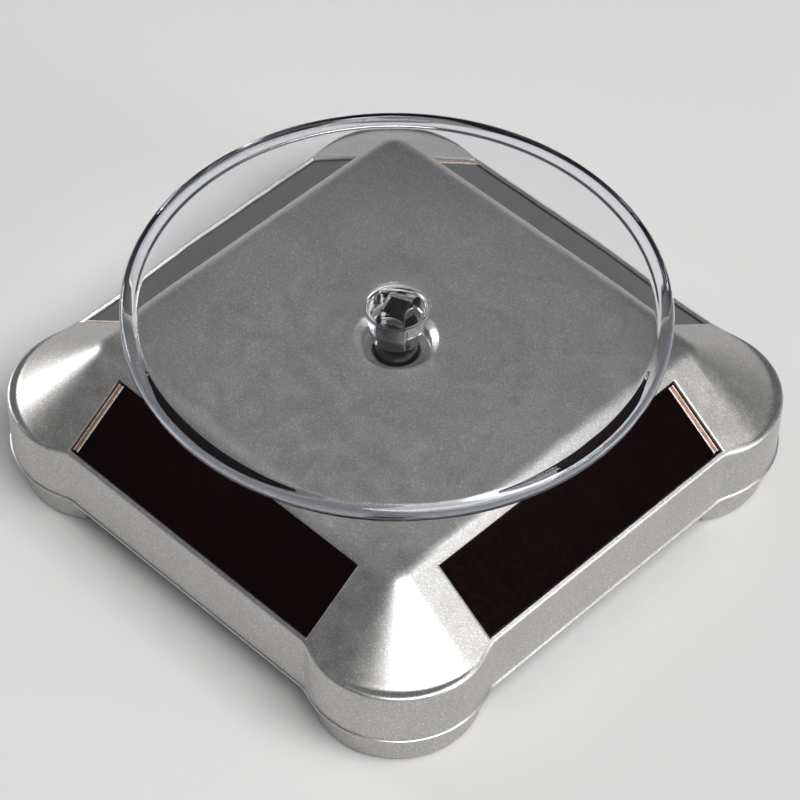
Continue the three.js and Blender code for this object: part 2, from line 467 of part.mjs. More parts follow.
// --------------------------------------------------------------------- leads
{
  const wire = 0.45;
  const side = (k, u, v, z) => {
    // side k, u along it, v outward from the Z axis
    const c = Math.round(Math.cos(k * Math.PI / 2)), s = Math.round(Math.sin(k * Math.PI / 2));
    return [u * c + v * s, u * s - v * c, z];
  };
  // each harness passes under a cell's window on every side: back, left, front, right
  const arch = (k, v, z) => [side(k, -10, v - 3.6, z - 4.8), side(k, -4.5, v - 1.3, z - 1.8), side(k, 0, v, z), side(k, 4.5, v - 1.3, z - 1.8), side(k, 10, v - 3.6, z - 4.8)];
  const corner = (k, z) => [side(k, 27.5, 35, z), side((k + 1) % 4, -27.5, 35, z)];
  const ring = (v, z, cz) => [
    ...arch(2, v, z).slice(2), ...corner(2, cz),
    ...arch(3, v, z), ...corner(3, cz),
    ...arch(0, v, z), ...corner(0, cz),
    ...arch(1, v, z).slice(0, 3)];
  const [mx, my] = M;
  add('solar_harness_red', tube([...ring(42.1, 20.8, 14), [37.5, 5, 19.4], [33.6, 8, 22.6], [31.6, 8.6, 25.4], [29.2, 8.35, 26.1], [mx + 5.4, my + 2.75, 26.1]], wire, 66, 5), RED_PVC);
  add('solar_harness_black', tube([...ring(40, 22, 11.6), [36, 3.4, 19.6], [33.2, 1.5, 23], [31.4, 1.8, 25.5], [29, 2.85, 26.1], [mx + 5.4, my - 2.75, 26.1]], wire, 66, 5), BLACK_PVC);
  add('battery_lead_red', tube([[BAY_X, BAY_L / 2 + 0.65, 21], [BAY_X, BAY_L / 2 + 2.8, 21], [BAY_X + 4, 31.8, 19], [-8, 32.4, 14], [0, 33, 11.6], [SWITCH[0] - 6.6, SWITCH[1], 11.6]], wire, 18, 5), RED_PVC);
  add('switch_lead_red', tube([[SWITCH[0] + 6.6, SWITCH[1], 11.6], [24, 32.5, 12.5], [30, 26, 18], [32.4, 19, 22.6], [30.8, 14.6, 25.6], [28, 12.2, 26.1], [mx + 4.5, my + 4.6, 26.1], [mx + 4.5, my + 3.35, 26.1]], wire, 26, 5), RED_PVC);
  add('battery_lead_black', tube([[BAY_X, -BAY_L / 2 - 0.65, 21], [BAY_X, -BAY_L / 2 - 2.8, 21], [BAY_X + 4, -32, 20.5], [-4, -30.5, 20], [12, -24, 20.5], [24, -18, 21.5], [30.5, -13, 22.6], [31.6, -8, 24.6], [29, -3.6, 26.1], [mx + 4.5, my - 5.2, 26.1], [mx + 4.5, my - 3.35, 26.1]], wire, 32, 5), BLACK_PVC);
}

// ------------------------------------------------------------------- platter
{
  const disc = turned([
    [0, BOSS_BOTTOM], [BOSS_R - 0.2, BOSS_BOTTOM], [BOSS_R, BOSS_BOTTOM + 0.2], [BOSS_R + 0.05, 34.8], [BOSS_R + 0.45, 36.2], [BOSS_R + 1.35, DISC_UNDER],
    [DISC_R - 3, DISC_UNDER], [DISC_R - 2.2, RIM_UNDER + 0.1], [DISC_R - 1, RIM_UNDER], [DISC_R - 0.3, RIM_UNDER + 0.35], [DISC_R, RIM_UNDER + 1.1],
    [DISC_R, DISC_TOP - 1.1], [DISC_R - 0.3, DISC_TOP - 0.35], [DISC_R - 1, DISC_TOP], [0, DISC_TOP]], 60);
  const socket = prism(circle(0, 0, SOCKET / Math.SQRT2, 4, STUB_TURN + Math.PI / 4), 29, SOCKET_TOP);
  add('platter', disc.subtract(socket), CLEAR);
}

export default stand;
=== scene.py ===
import math

import bmesh
import bpy
import numpy as np
from mathutils import Matrix, Vector


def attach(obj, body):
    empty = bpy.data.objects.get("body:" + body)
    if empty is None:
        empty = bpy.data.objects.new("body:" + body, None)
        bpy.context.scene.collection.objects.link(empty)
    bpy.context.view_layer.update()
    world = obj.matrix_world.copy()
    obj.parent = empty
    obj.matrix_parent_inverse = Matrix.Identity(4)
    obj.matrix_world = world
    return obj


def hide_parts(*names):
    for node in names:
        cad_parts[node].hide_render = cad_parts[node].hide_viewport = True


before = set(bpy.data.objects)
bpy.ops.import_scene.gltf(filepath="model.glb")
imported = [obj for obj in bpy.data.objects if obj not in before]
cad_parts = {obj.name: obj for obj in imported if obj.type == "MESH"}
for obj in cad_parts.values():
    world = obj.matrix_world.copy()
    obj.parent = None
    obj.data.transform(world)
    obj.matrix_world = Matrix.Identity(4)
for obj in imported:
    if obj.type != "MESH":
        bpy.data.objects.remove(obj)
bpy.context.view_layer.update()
scene = bpy.context.scene
MM = 0.001

# ------------------------------------------------------------------- camera
AZ, EL, ROLL = math.radians(43.8806), math.radians(47.5737), math.radians(0.94675)
DIST, FOCAL_PX, CENTRE_PX = 568.3816, 3377.46, (395.609, 390.806)


def make_camera():
    back = Vector((math.sin(AZ) * math.cos(EL), -math.cos(AZ) * math.cos(EL), math.sin(EL)))
    right = Vector((math.cos(AZ), math.sin(AZ), 0))
    up = back.cross(right)
    x = right * math.cos(ROLL) + up * math.sin(ROLL)
    y = -right * math.sin(ROLL) + up * math.cos(ROLL)
    place = (Vector((0, 0, 18)) + back * DIST) * MM
    # turned so that the middle of the picture is on the lens axis
    z = (back * FOCAL_PX - x * (400 - CENTRE_PX[0]) + y * (400 - CENTRE_PX[1])).normalized()
    x = (x - z * x.dot(z)).normalized()
    y = z.cross(x)
    data = bpy.data.cameras.new("camera")
    data.sensor_width = 36
    data.lens = FOCAL_PX * 36 / 800
    data.clip_start = 0.02
    data.clip_end = 50
    cam = bpy.data.objects.new("camera", data)
    cam.matrix_world = Matrix((
        (x.x, y.x, z.x, place.x), (x.y, y.y, z.y, place.y), (x.z, y.z, z.z, place.z), (0, 0, 0, 1)))
    scene.collection.objects.link(cam)
    scene.camera = cam


make_camera()

# ------------------------------------------------- sizes, mm, as in the CAD
LOBE_C, SIDE_B, SIDE_T, LOBE_B, LOBE_T, FILLET = 35.2, 49.34, 49.15, 15.8, 15.62, 6.0
Z_EDGE, Z_LEDGE, Z_COVER = 7.0, 18.3, 9.0
RUN, SLOPE_W, CONE_C, FOOT_R16 = 1.3966, 49.93, 33.2, 16.73
SLOPE_A = math.atan(1 / RUN)
CELL_L, CELL_W, CELL_T, CELL_OUT, CELL_Z = 55.2, 13.5, 1.1, 42.42, 23.12
RECESS_HALF, RECESS_TOP, RECESS_LOW, RECESS_DEEP = 27.9, 3.753, 15.217, 1.855
HUB_R, HUB_TOP, STUB, STUB_TOP, STUB_TURN = 3.6, 30.6, 3.6, 37.9, math.radians(22)
DISC_R, DISC_TOP, DISC_UNDER, RIM_UNDER = 45.4, 40.0, 37.5, 37.0
BOSS_R, BOSS_BOTTOM, SOCKET, SOCKET_TOP = 4.45, 30.95, 4.2, 38.2
FOOT_C, FOOT_R, FOOT_CUT = 35.0, 14.15, 27.0
BAY_X, BAY_W, BAY_L, BAY_TOP, BAY_WALL = -22.5, 15.6, 52.6, 24.6, 1.6
SWITCH_X, SWITCH_Y, SWITCH_TRAVEL = 14.0, 34.0, 2.5
CORNERS = {"front": (1, -1), "right": (1, 1), "back": (-1, 1), "left": (-1, -1)}


# ------------------------------------------------------------ mesh helpers
def new_object(name, verts, faces, body, smooth=38, mats=()):
    mesh = bpy.data.meshes.new(name)
    mesh.from_pydata([tuple(float(c) * MM for c in v) for v in verts], [], faces)
    bm = bmesh.new()
    bm.from_mesh(mesh)
    bmesh.ops.remove_doubles(bm, verts=bm.verts, dist=1e-7)
    bmesh.ops.recalc_face_normals(bm, faces=bm.faces)
    bm.to_mesh(mesh)
    bm.free()
    ob = bpy.data.objects.new(name, mesh)
    scene.collection.objects.link(ob)
    for m in mats:
        mesh.materials.append(m)
    if smooth:
        shade(ob, smooth)
    if body:
        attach(ob, body)
    return ob


def shade(ob, angle):
    ob.data.polygons.foreach_set("use_smooth", [True] * len(ob.data.polygons))
    ob.data.set_sharp_from_angle(angle=math.radians(angle))


def loft(rings, closed_rows=False, caps=True):
    """Vertices and quads of a stack of closed rings with the same number of points."""
    n = len(rings[0])
    verts = [p for ring in rings for p in ring]
    faces = []
    rows = len(rings)
    for j in range(rows if closed_rows else rows - 1):
        a, b = j * n, ((j + 1) % rows) * n
        for i in range(n):
            k = (i + 1) % n
            faces.append((a + i, a + k, b + k, b + i))
    if caps and not closed_rows:
        faces.append(tuple(range(n - 1, -1, -1)))
        faces.append(tuple((rows - 1) * n + i for i in range(n)))
    return verts, faces


def lathe(profile, n, cx=0.0, cy=0.0):
    """A solid of revolution; the profile starts and ends on the axis."""
    inner = profile[1:-1]
    rings = [[(cx + r * math.cos(2 * math.pi * i / n), cy + r * math.sin(2 * math.pi * i / n), z) for i in range(n)]
             for r, z in inner]
    verts, faces = loft(rings, caps=False)
    a = len(verts)
    verts += [(cx, cy, profile[0][1]), (cx, cy, profile[-1][1])]
    last = (len(inner) - 1) * n
    for i in range(n):
        k = (i + 1) % n
        faces.append((a, k, i))
        faces.append((a + 1, last + i, last + k))
    return verts, faces


def arc(cx, cz, r, a0, a1, n):
    return [(cx + r * math.cos(math.radians(a0 + (a1 - a0) * i / n)), cz + r * math.sin(math.radians(a0 + (a1 - a0) * i / n)))
            for i in range(n + 1)]


def temp(name, verts, faces):
    return new_object(name, verts, faces, None, smooth=0)


def box_temp(x0, x1, y0, y1, z0, z1):
    v = [(x0, y0, z0), (x1, y0, z0), (x1, y1, z0), (x0, y1, z0), (x0, y0, z1), (x1, y0, z1), (x1, y1, z1), (x0, y1, z1)]
    f = [(0, 3, 2, 1), (4, 5, 6, 7), (0, 1, 5, 4), (1, 2, 6, 5), (2, 3, 7, 6), (3, 0, 4, 7)]
    return temp("tool", v, f)


def rod_temp(cx, cy, r, z0, z1, n=48, r1=None):
    r1 = r if r1 is None else r1
    rings = [[(cx + q * math.cos(2 * math.pi * i / n), cy + q * math.sin(2 * math.pi * i / n), z) for i in range(n)]
             for q, z in ((r, z0), (r1, z1))]
    return temp("tool", *loft(rings))


def prism_temp(points, z0, z1):
    return temp("tool", *loft([[(x, y, z0) for x, y in points], [(x, y, z1) for x, y in points]]))


def boolean(ob, tools, operation):
    """Cuts or joins ob with each tool, and removes the tools."""
    for t in tools:
        mod = ob.modifiers.new("b", "BOOLEAN")
        mod.operation = operation
        mod.solver = "EXACT"
        mod.object = t
        dg = bpy.context.evaluated_depsgraph_get()
        mesh = bpy.data.meshes.new_from_object(ob.evaluated_get(dg))
        ob.modifiers.clear()
        old = ob.data
        ob.data = mesh
        bpy.data.meshes.remove(old)
        bpy.data.objects.remove(t)


def rounded_ring(points, inset, z):
    """A closed outline moved inwards along its own normals."""
    p = np.array(points, float)
    a, b = np.roll(p, 1, 0), np.roll(p, -1, 0)
    e1, e2 = p - a, b - p
    n1 = np.stack([e1[:, 1], -e1[:, 0]], 1) / np.linalg.norm(e1, axis=1)[:, None]
    n2 = np.stack([e2[:, 1], -e2[:, 0]], 1) / np.linalg.norm(e2, axis=1)[:, None]
    n = n1 + n2
    n = n / np.maximum((n * n1).sum(1), 0.3)[:, None]
    n = n / np.maximum(np.linalg.norm(n, axis=1), 1e-9)[:, None] * np.minimum(np.linalg.norm(n, axis=1), 1.4)[:, None]
    q = p - n * inset
    return [(x, y, z) for x, y in q]


def round_corners(points, radius, steps=6):
    """Rounds every corner of a polygon that turns by more than 20 degrees."""
    out = []
    n = len(points)
    for i in range(n):
        p0, p1, p2 = (Vector(points[(i + k) % n]) for k in (-1, 0, 1))
        d0, d1 = (p0 - p1), (p2 - p1)
        turn = math.pi - d0.angle(d1)
        if turn < math.radians(20):
            out.append(tuple(p1))
            continue
        r = radius * math.tan(turn / 2)
        r = min(r, 0.48 * d0.length, 0.48 * d1.length)
        a, b = p1 + d0.normalized() * r, p1 + d1.normalized() * r
        for k in range(steps + 1):
            t = k / steps
            out.append(tuple(a * (1 - t) ** 2 + p1 * 2 * t * (1 - t) + b * t * t))
    return out


# --------------------------------------------------------------- materials
def material(name, base, rough, metal=0.0, **sockets):
    m = bpy.data.materials.new(name)
    m.use_nodes = True
    nt = m.node_tree
    b = nt.nodes["Principled BSDF"]
    b.inputs["Base Color"].default_value = (*base, 1)
    b.inputs["Roughness"].default_value = rough
    b.inputs["Metallic"].default_value = metal
    for k, v in sockets.items():
        b.inputs[k.replace("_", " ")].default_value = v
    return m, nt, b


def node(nt, kind, **inputs):
    n = nt.nodes.new(kind)
    for k, v in inputs.items():
        n.inputs[k.replace("_", " ")].default_value = v
    return n


def coords(nt):
    return nt.nodes.new("ShaderNodeTexCoord").outputs["Object"]


def noise(nt, scale, detail=3.0, rough=0.55):
    n = node(nt, "ShaderNodeTexNoise", Scale=scale, Detail=detail, Roughness=rough)
    nt.links.new(coords(nt), n.inputs["Vector"])
    return n.outputs["Fac"]


def ramp(nt, fac, stops):
    r = nt.nodes.new("ShaderNodeValToRGB")
    while len(r.color_ramp.elements) < len(stops):
        r.color_ramp.elements.new(0.5)
    for e, (at, c) in zip(r.color_ramp.elements, stops):
        e.position = at
        e.color = (*c, 1) if len(c) == 3 else c
    nt.links.new(fac, r.inputs["Fac"])
    return r.outputs["Color"]


def spread(nt, fac, low, high):
    m = nt.nodes.new("ShaderNodeMapRange")
    m.inputs["From Min"].default_value = 0.3
    m.inputs["From Max"].default_value = 0.7
    m.inputs["To Min"].default_value = low
    m.inputs["To Max"].default_value = high
    nt.links.new(fac, m.inputs["Value"])
    return m.outputs["Result"]


def bump(nt, shader, height, strength, distance):
    b = node(nt, "ShaderNodeBump", Strength=strength, Distance=distance)
    nt.links.new(height, b.inputs["Height"])
    nt.links.new(b.outputs["Normal"], shader.inputs["Normal"])


def grained(name, base, rough, metal=0.0, grain=0.0004, vary=0.12, rvary=0.08, strength=0.25, blotch=0.006, **sockets):
    """Moulded or machined surface: a fine grain, slow blotches of tone and a roughness that varies."""
    m, nt, b = material(name, base, rough, metal, **sockets)
    slow = noise(nt, 1 / blotch, 4.0)
    nt.links.new(ramp(nt, slow, [(0.3, tuple(c * (1 - vary) for c in base)), (0.72, tuple(min(1, c * (1 + vary)) for c in base))]),
                 b.inputs["Base Color"])
    nt.links.new(spread(nt, noise(nt, 1 / (blotch * 0.4), 5.0), max(0.03, rough - rvary), rough + rvary), b.inputs["Roughness"])
    bump(nt, b, noise(nt, 1 / grain, 2.0), strength, grain * 0.25)
    return m


def silver_paint():
    """Satin lacquer with fine metal flake, a little worn and uneven."""
    m, nt, b = material("silver_paint", (0.50, 0.49, 0.48), 0.36, 0.94)
    b.inputs["Specular IOR Level"].default_value = 0.5
    where = coords(nt)
    flake = node(nt, "ShaderNodeTexVoronoi", Scale=7600.0)
    nt.links.new(where, flake.inputs["Vector"])
    split = nt.nodes.new("ShaderNodeSeparateColor")
    nt.links.new(flake.outputs["Color"], split.inputs["Color"])
    tone = ramp(nt, split.outputs["Red"], [(0.0, (0.40, 0.393, 0.384)), (0.55, (0.50, 0.491, 0.481)), (0.9, (0.57, 0.56, 0.55)), (1.0, (0.86, 0.85, 0.84))])
    slow = ramp(nt, noise(nt, 95.0, 5.0), [(0.32, (0.93, 0.925, 0.92)), (0.7, (1.0, 1.0, 1.0))])
    mix = nt.nodes.new("ShaderNodeMix")
    mix.data_type = "RGBA"
    mix.blend_type = "MULTIPLY"
    mix.inputs["Factor"].default_value = 1.0
    nt.links.new(tone, mix.inputs[6])
    nt.links.new(slow, mix.inputs[7])
    nt.links.new(mix.outputs[2], b.inputs["Base Color"])
    nt.links.new(spread(nt, noise(nt, 420.0, 4.0), 0.33, 0.40), b.inputs["Roughness"])
    fine = node(nt, "ShaderNodeTexNoise", Scale=4200.0, Detail=2.0, Roughness=0.6)
    nt.links.new(where, fine.inputs["Vector"])
    height = nt.nodes.new("ShaderNodeMath")
    height.operation = "MULTIPLY_ADD"
    height.inputs[1].default_value = 0.5
    nt.links.new(split.outputs["Green"], height.inputs[0])
    nt.links.new(fine.outputs["Fac"], height.inputs[2])
    bump(nt, b, height.outputs["Value"], 0.2, 0.00004)
    return m


SILVER = silver_paint()


def cell_film():
    """Thin-film solar cell under glass: near black with a wine tint, blotches of tone and a faint fine bump."""
    m, nt, b = material("cell_film", (0.003, 0.0012, 0.0014), 0.12)
    b.inputs["Specular IOR Level"].default_value = 0.2
    nt.links.new(ramp(nt, noise(nt, 160.0, 4.0), [(0.25, (0.0026, 0.001, 0.0012)), (0.8, (0.0052, 0.0014, 0.0018))]), b.inputs["Base Color"])
    nt.links.new(spread(nt, noise(nt, 900.0, 4.0), 0.09, 0.17), b.inputs["Roughness"])
    bump(nt, b, noise(nt, 2500.0, 2.0), 0.03, 0.00002)
    return m


def clear_acrylic(name="clear_acrylic", tint=(0.965, 0.97, 0.99)):
    """Clear polystyrene with the faint haze and waviness of a moulded part."""
    m, nt, b = material(name, tint, 0.02)
    b.inputs["Transmission Weight"].default_value = 1.0
    b.inputs["IOR"].default_value = 1.5
    nt.links.new(spread(nt, noise(nt, 260.0, 4.0), 0.0, 0.035), b.inputs["Roughness"])
    bump(nt, b, noise(nt, 120.0, 2.0), 0.04, 0.0004)
    return m


CLEAR = clear_acrylic()
RIM = clear_acrylic("clear_acrylic_edge", (0.78, 0.83, 1.0))
FILM = cell_film()
CELL_EDGE = grained("cell_glass_edge", (0.05, 0.035, 0.035), 0.2, 0.0, grain=0.0002, vary=0.3)
COPPER = grained("cell_contact_copper", (0.50, 0.26, 0.18), 0.34, 0.75, grain=0.0003, vary=0.25, blotch=0.0015)
SOLDER = grained("cell_contact_paste", (0.86, 0.80, 0.74), 0.3, 0.7, grain=0.0003, vary=0.12, blotch=0.0015)
FOAM = grained("foam_pad", (0.018, 0.018, 0.019), 0.85, 0.0, grain=0.00035, vary=0.35, strength=0.8, blotch=0.002)
HUB = grained("hub_black", (0.004, 0.004, 0.0045), 0.14, 0.0, grain=0.0012, vary=0.2, rvary=0.05, strength=0.05, blotch=0.003)
STEEL = grained("contact_steel", (0.62, 0.62, 0.63), 0.3, 1.0, grain=0.0002, vary=0.1, blotch=0.003)
ZINC = grained("zinc_screw", (0.55, 0.56, 0.57), 0.34, 1.0, grain=0.0003, vary=0.14, blotch=0.0012)
BLACK_ABS = grained("black_abs", (0.02, 0.02, 0.021), 0.45, 0.0, grain=0.0003, vary=0.2)
GREY_ABS = grained("grey_abs", (0.16, 0.16, 0.165), 0.5, 0.0, grain=0.0003, vary=0.12)
NYLON = grained("white_nylon", (0.78, 0.76, 0.70), 0.45, 0.0, grain=0.0004, vary=0.05, Subsurface_Weight=0.1, Subsurface_Scale=0.001)
CAN = grained("can_steel", (0.66, 0.66, 0.66), 0.27, 1.0, grain=0.0003, vary=0.08)
ARMATURE = grained("armature", (0.55, 0.29, 0.18), 0.42, 0.8, grain=0.0003, vary=0.2)
BRASS = grained("brass", (0.72, 0.52, 0.22), 0.3, 1.0, grain=0.0003, vary=0.12)
FERRITE = grained("ferrite", (0.04, 0.038, 0.038), 0.7, 0.0, grain=0.0003, vary=0.3, strength=0.5)
RED_PVC = grained("red_pvc", (0.45, 0.02, 0.015), 0.42, 0.0, grain=0.0005, vary=0.12)
BLACK_PVC = grained("black_pvc", (0.012, 0.012, 0.012), 0.42, 0.0, grain=0.0005, vary=0.2)


# ------------------------------------------------------------- top housing
def out_r(col, side, rad, fil, c=CONE_C):
    """Distance along a column's ray to an outline of straight sides, fillets and lobes."""
    kind, a = col
    if kind == "s":
        u = a * c / CONE_C
        fx = LOBE_C - math.sqrt((rad + fil) ** 2 - (side + fil - LOBE_C) ** 2)
        jx = fx + fil * (LOBE_C - fx) / (rad + fil)
        if u <= fx:
            v = side
        elif u < jx:
            v = side + fil - math.sqrt(fil * fil - (u - fx) ** 2)
        else:
            v = LOBE_C + math.sqrt(rad * rad - (u - LOBE_C) ** 2)
        return v - c
    k = LOBE_C - c
    md = -k * (math.sin(a) + math.cos(a))
    return -md + math.sqrt(md * md - 2 * k * k + rad * rad)


def crown(x, y):
    return 29.95 - 0.00069 * math.sqrt(x ** 4 + y ** 4)


def soft_top(r):
    """Height of the sloping surface or the lobe ledge, whichever is higher, with a small fillet."""
    s = (FOOT_R16 - r) / RUN
    return Z_LEDGE + 0.5 * (s + math.sqrt(s * s + 0.10 ** 2)) - 0.02


def smoothstep(t):
    t = min(max(t, 0.0), 1.0)
    return t * t * (3 - 2 * t)


def housing():
    straight = [(0.0, 9), (2.8, 9), (5.6, 9), (8.4, 9), (11.2, 9), (14, 9), (16.8, 9), (19.4, 9), (21.6, 9), (23.4, 9), (24.8, 9), (25.8, 9),
                (26.5, 9), (26.86, 9), (27.2, 9), (27.5, 9), (27.7, 9), (27.86, 9), (27.9, 0.14), (27.95, 0.03), (28.1, 0), (28.4, 0), (28.75, 0),
                (29.15, 0), (29.6, 0), (30.2, 0), (31.0, 0), (32.0, 0), (33.2, 0)]
    half = [(("s", u), d) for u, d in straight] + [(("c", math.radians(3 * i)), 0) for i in range(1, 16)]
    cols = [(c, -1, d) for c, d in reversed(half[1:])] + [(c, 1, d) for c, d in half[:-1]]
    n = len(cols)
    half_n = len(half) - 1

    def at(col, sign, r, z, c=CONE_C):
        kind, a = col
        if kind == "s":
            return (sign * a * c / CONE_C, -(c + r), z)
        return (sign * (c + r * math.sin(a)), -(c + r * math.cos(a)), z)

    profiles = []
    for i, (col, sign, dcol) in enumerate(cols):
        phi = (i - half_n) / half_n * math.pi / 4
        circ = lambda R, z: (R * math.sin(phi), -R * math.cos(phi), z)
        P = []
        for R, z in [(4, 25.7), (4, 27.05), (4.04, 27.15), (4.15, 27.2), (4.4, 27.2), (5.4, 27.2), (5.6, 27.23), (5.7, 27.3), (5.75, 27.42), (5.75, 27.8),
                     (5.75, 28.6), (5.76, 28.85), (5.83, 29.02), (5.95, 29.13), (6.3, 29.37), (6.75, 29.67), (6.95, 29.79), (7.1, 29.86), (7.3, 29.9)]:
            P.append(circ(R, z))
        for R in (7.55, 8.0):
            x, y, _ = circ(R, 0)
            P.append((x, y, crown(x, y)))
        r_e = 1.7
        for _ in range(12):
            x, y, _z = at(col, sign, r_e, 0)
            r_e = FOOT_R16 - (crown(x, y) - Z_LEDGE) * RUN
        start = at(col, sign, r_e - 1.75, 0)
        inner = circ(8.0, 0)
        for t in (0.06, 0.14, 0.25, 0.37, 0.5, 0.63, 0.75, 0.86, 0.94, 1.0):
            x, y = inner[0] * (1 - t) + start[0] * t, inner[1] * (1 - t) + start[1] * t
            P.append((x, y, crown(x, y)))
        # rounded top edge
        r0, r1 = r_e - 1.5, r_e + 1.15
        x, y, _z = at(col, sign, r0, 0)
        z0 = crown(x, y)
        x, y, _z = at(col, sign, r_e, 0)
        ze = crown(x, y)
        z1 = Z_LEDGE + (FOOT_R16 - r1) / RUN
        for k in range(10):
            t = k / 9
            r = r0 * (1 - t) ** 2 + r_e * 2 * t * (1 - t) + r1 * t * t
            z = z0 * (1 - t) ** 2 + ze * 2 * t * (1 - t) + z1 * t * t
            P.append(at(col, sign, r, z))
        # slope, with the cell recess
        nr, nz = math.sin(SLOPE_A), math.cos(SLOPE_A)
        for r, drow in ((3.52, 0), (3.69, 0.03), (3.74, 0.14), (3.77, 9), (3.95, 9), (5.5, 9), (8, 9), (10.5, 9), (13, 9), (15.0, 9), (15.195, 9),
                        (15.22, 0.14), (15.27, 0.03), (15.4, 0)):
            d = min(dcol, drow, RECESS_DEEP)
            z = Z_LEDGE + (FOOT_R16 - r) / RUN
            P.append(at(col, sign, r - d * nr, z - d * nz))
        # down to the ledge and round the rim
        ro = out_r(col, SIDE_T - 0.02, LOBE_T - 0.02, FILLET + 0.02)
        kind, a = col
        lobe = 1.0 if kind == "c" else smoothstep((a - 27.6) / 3.4)
        rr = 0.42 + 0.5 * lobe
        b = ro - rr
        for k, lk in enumerate((FOOT_R16 - 0.8, FOOT_R16 - 0.3, FOOT_R16 - 0.1, FOOT_R16 + 0.08, FOOT_R16 + 0.3)):
            r = min(lk, 15.4 + (b - 15.4) * (k + 1) / 6)
            P.append(at(col, sign, r, soft_top(r)))
        zc = soft_top(ro)
        for k in range(9):
            t = k / 8
            r = b * (1 - t) ** 2 + ro * 2 * t * (1 - t) + (ro + 0.01) * t * t
            z = soft_top(b) * (1 - t) ** 2 + zc * 2 * t * (1 - t) + (zc - rr) * t * t
            P.append(at(col, sign, r, z))
        # drafted wall
        ztop = zc - rr
        for z in (ztop - 0.35, ztop - 1.5, 14, 11, 9, 8.1, 7.8):
            f = (z - Z_EDGE) / 10.8
            g = 0.02 + 0.11 * (1 - f)
            P.append(at(col, sign, out_r(col, SIDE_T - g, LOBE_T - g, FILLET + g), z))
        # beaded bottom edge and lip
        for off, z in ((0.30, 7.70), (0.27, 7.64), (0.19, 7.59), (0.08, 7.53), (0.02, 7.45), (0.0, 7.36), (0.0, 7.2), (0.03, 7.1), (0.1, 7.03), (0.2, 7.0), (0.4, 7.0), (0.85, 7.0), (0.97, 7.04), (1.0, 7.15), (1.0, 9.1)):
            P.append(at(col, sign, out_r(col, SIDE_B - off, LOBE_B - off, FILLET + off), z))
        # inside: wall, slope, ceiling, well
        c2 = 31.0
        rw = out_r(col, SIDE_T - 2, LOBE_T - 2, FILLET + 2, c2)
        zj = Z_LEDGE + (SLOPE_W - 5.5 - (rw + c2)) / RUN
        for z in (9.3, 9.9, 12.0, zj):
            P.append(at(col, sign, rw, z, c2))
        for t in (0.25, 0.5, 0.75, 1.0):
            z = zj + (27.0 - zj) * t
            P.append(at(col, sign, SLOPE_W - (z - Z_LEDGE) * RUN - 5.5 - c2, z, c2))
        last = P[-1]
        for t in (0.3, 0.65, 1.0):
            q = circ(7.25, 27)
            P.append((last[0] * (1 - t) + q[0] * t, last[1] * (1 - t) + q[1] * t, 27.0))
        P.append(circ(7.25, 25.7))
        P.append(circ(5.6, 25.7))
        profiles.append(P)
    rows = len(profiles[0])
    rings = [[] for _ in range(rows)]
    for k in range(4):
        c, s = round(math.cos(k * math.pi / 2)), round(math.sin(k * math.pi / 2))
        for P in profiles:
            for j, (x, y, z) in enumerate(P):
                rings[j].append((x * c - y * s, x * s + y * c, z))
    verts, faces = loft(rings, closed_rows=True)
    ob = new_object("housing_shell", verts, faces, "base", smooth=50, mats=[SILVER])
    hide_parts("top_housing")


housing()


# ------------------------------------------------------------- solar cells
def on_slope(k):
    return Matrix.Rotation(k * math.pi / 2, 4, "Z") @ Matrix.Translation((0, -CELL_OUT, CELL_Z)) @ Matrix.Rotation(SLOPE_A, 4, "X")


def slab(x0, x1, y0, y1, z0, z1, edge, steps=2):
    """A flat plate with rounded top and bottom edges and small round corners, as rings."""
    pts = round_corners([(x0, y0), (x1, y0), (x1, y1), (x0, y1)], max(edge * 1.6, 0.02), 4)
    rings = []
    for k in range(steps + 1):
        a = math.pi / 2 * k / steps
        rings.append(rounded_ring(pts, edge * (1 - math.sin(a)), z0 + edge * (1 - math.cos(a))))
    for k in range(steps + 1):
        a = math.pi / 2 * k / steps
        rings.append(rounded_ring(pts, edge * (1 - math.cos(a)), z1 - edge * (1 - math.sin(a))))
    # flat borders, so that the broad faces shade flat
    rings.insert(0, rounded_ring(pts, edge + 0.03, z0))
    rings.append(rounded_ring(pts, edge + 0.03, z1))
    return loft(rings)


def cells():
    names = ["front_left", "front_right", "back_right", "back_left"]
    for k, name in enumerate(names):
        m = on_slope(k)
        end = -1 if k == 0 else 1
        land = 0.28 if k == 0 else 0.42
        parts = []
        L, W = CELL_L / 2 + 0.16, CELL_W / 2 + 0.17
        parts.append((slab(-L, L, -W, W, -CELL_T, -0.06, 0.1), 0))
        # printed contact at one end: copper land between two bright paste lines
        parts.append((slab(end * (L - 0.62) - land, end * (L - 0.62) + land, -W + 0.35, W - 0.35, -0.08, -0.03, 0.012), 1))
        parts.append((slab(end * (L - 1.12) - 0.15, end * (L - 1.12) + 0.15, -W + 0.3, W - 0.3, -0.08, -0.015, 0.02), 2))
        parts.append((slab(end * (L - 0.30) - 0.08, end * (L - 0.30) + 0.08, -W + 0.3, W - 0.3, -0.08, -0.02, 0.015), 2))
        verts, faces, mats = [], [], []
        for (v, f), mi in parts:
            base = len(verts)
            verts += [tuple(m @ Vector(p)) for p in v]
            faces += [tuple(base + i for i in face) for face in f]
            mats += [mi] * len(f)
        mesh_name = "solar_panel_" + name
        mesh = bpy.data.meshes.new(mesh_name)
        mesh.from_pydata([tuple(c * MM for c in v) for v in verts], [], faces)
        for mat in (FILM, COPPER, SOLDER):
            mesh.materials.append(mat)
        mesh.polygons.foreach_set("material_index", mats)
        bm = bmesh.new()
        bm.from_mesh(mesh)
        bmesh.ops.recalc_face_normals(bm, faces=bm.faces)
        bm.to_mesh(mesh)
        bm.free()
        ob = bpy.data.objects.new(mesh_name, mesh)
        scene.collection.objects.link(ob)
        shade(ob, 60)
        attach(ob, "base")
        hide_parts("solar_cell_" + name)


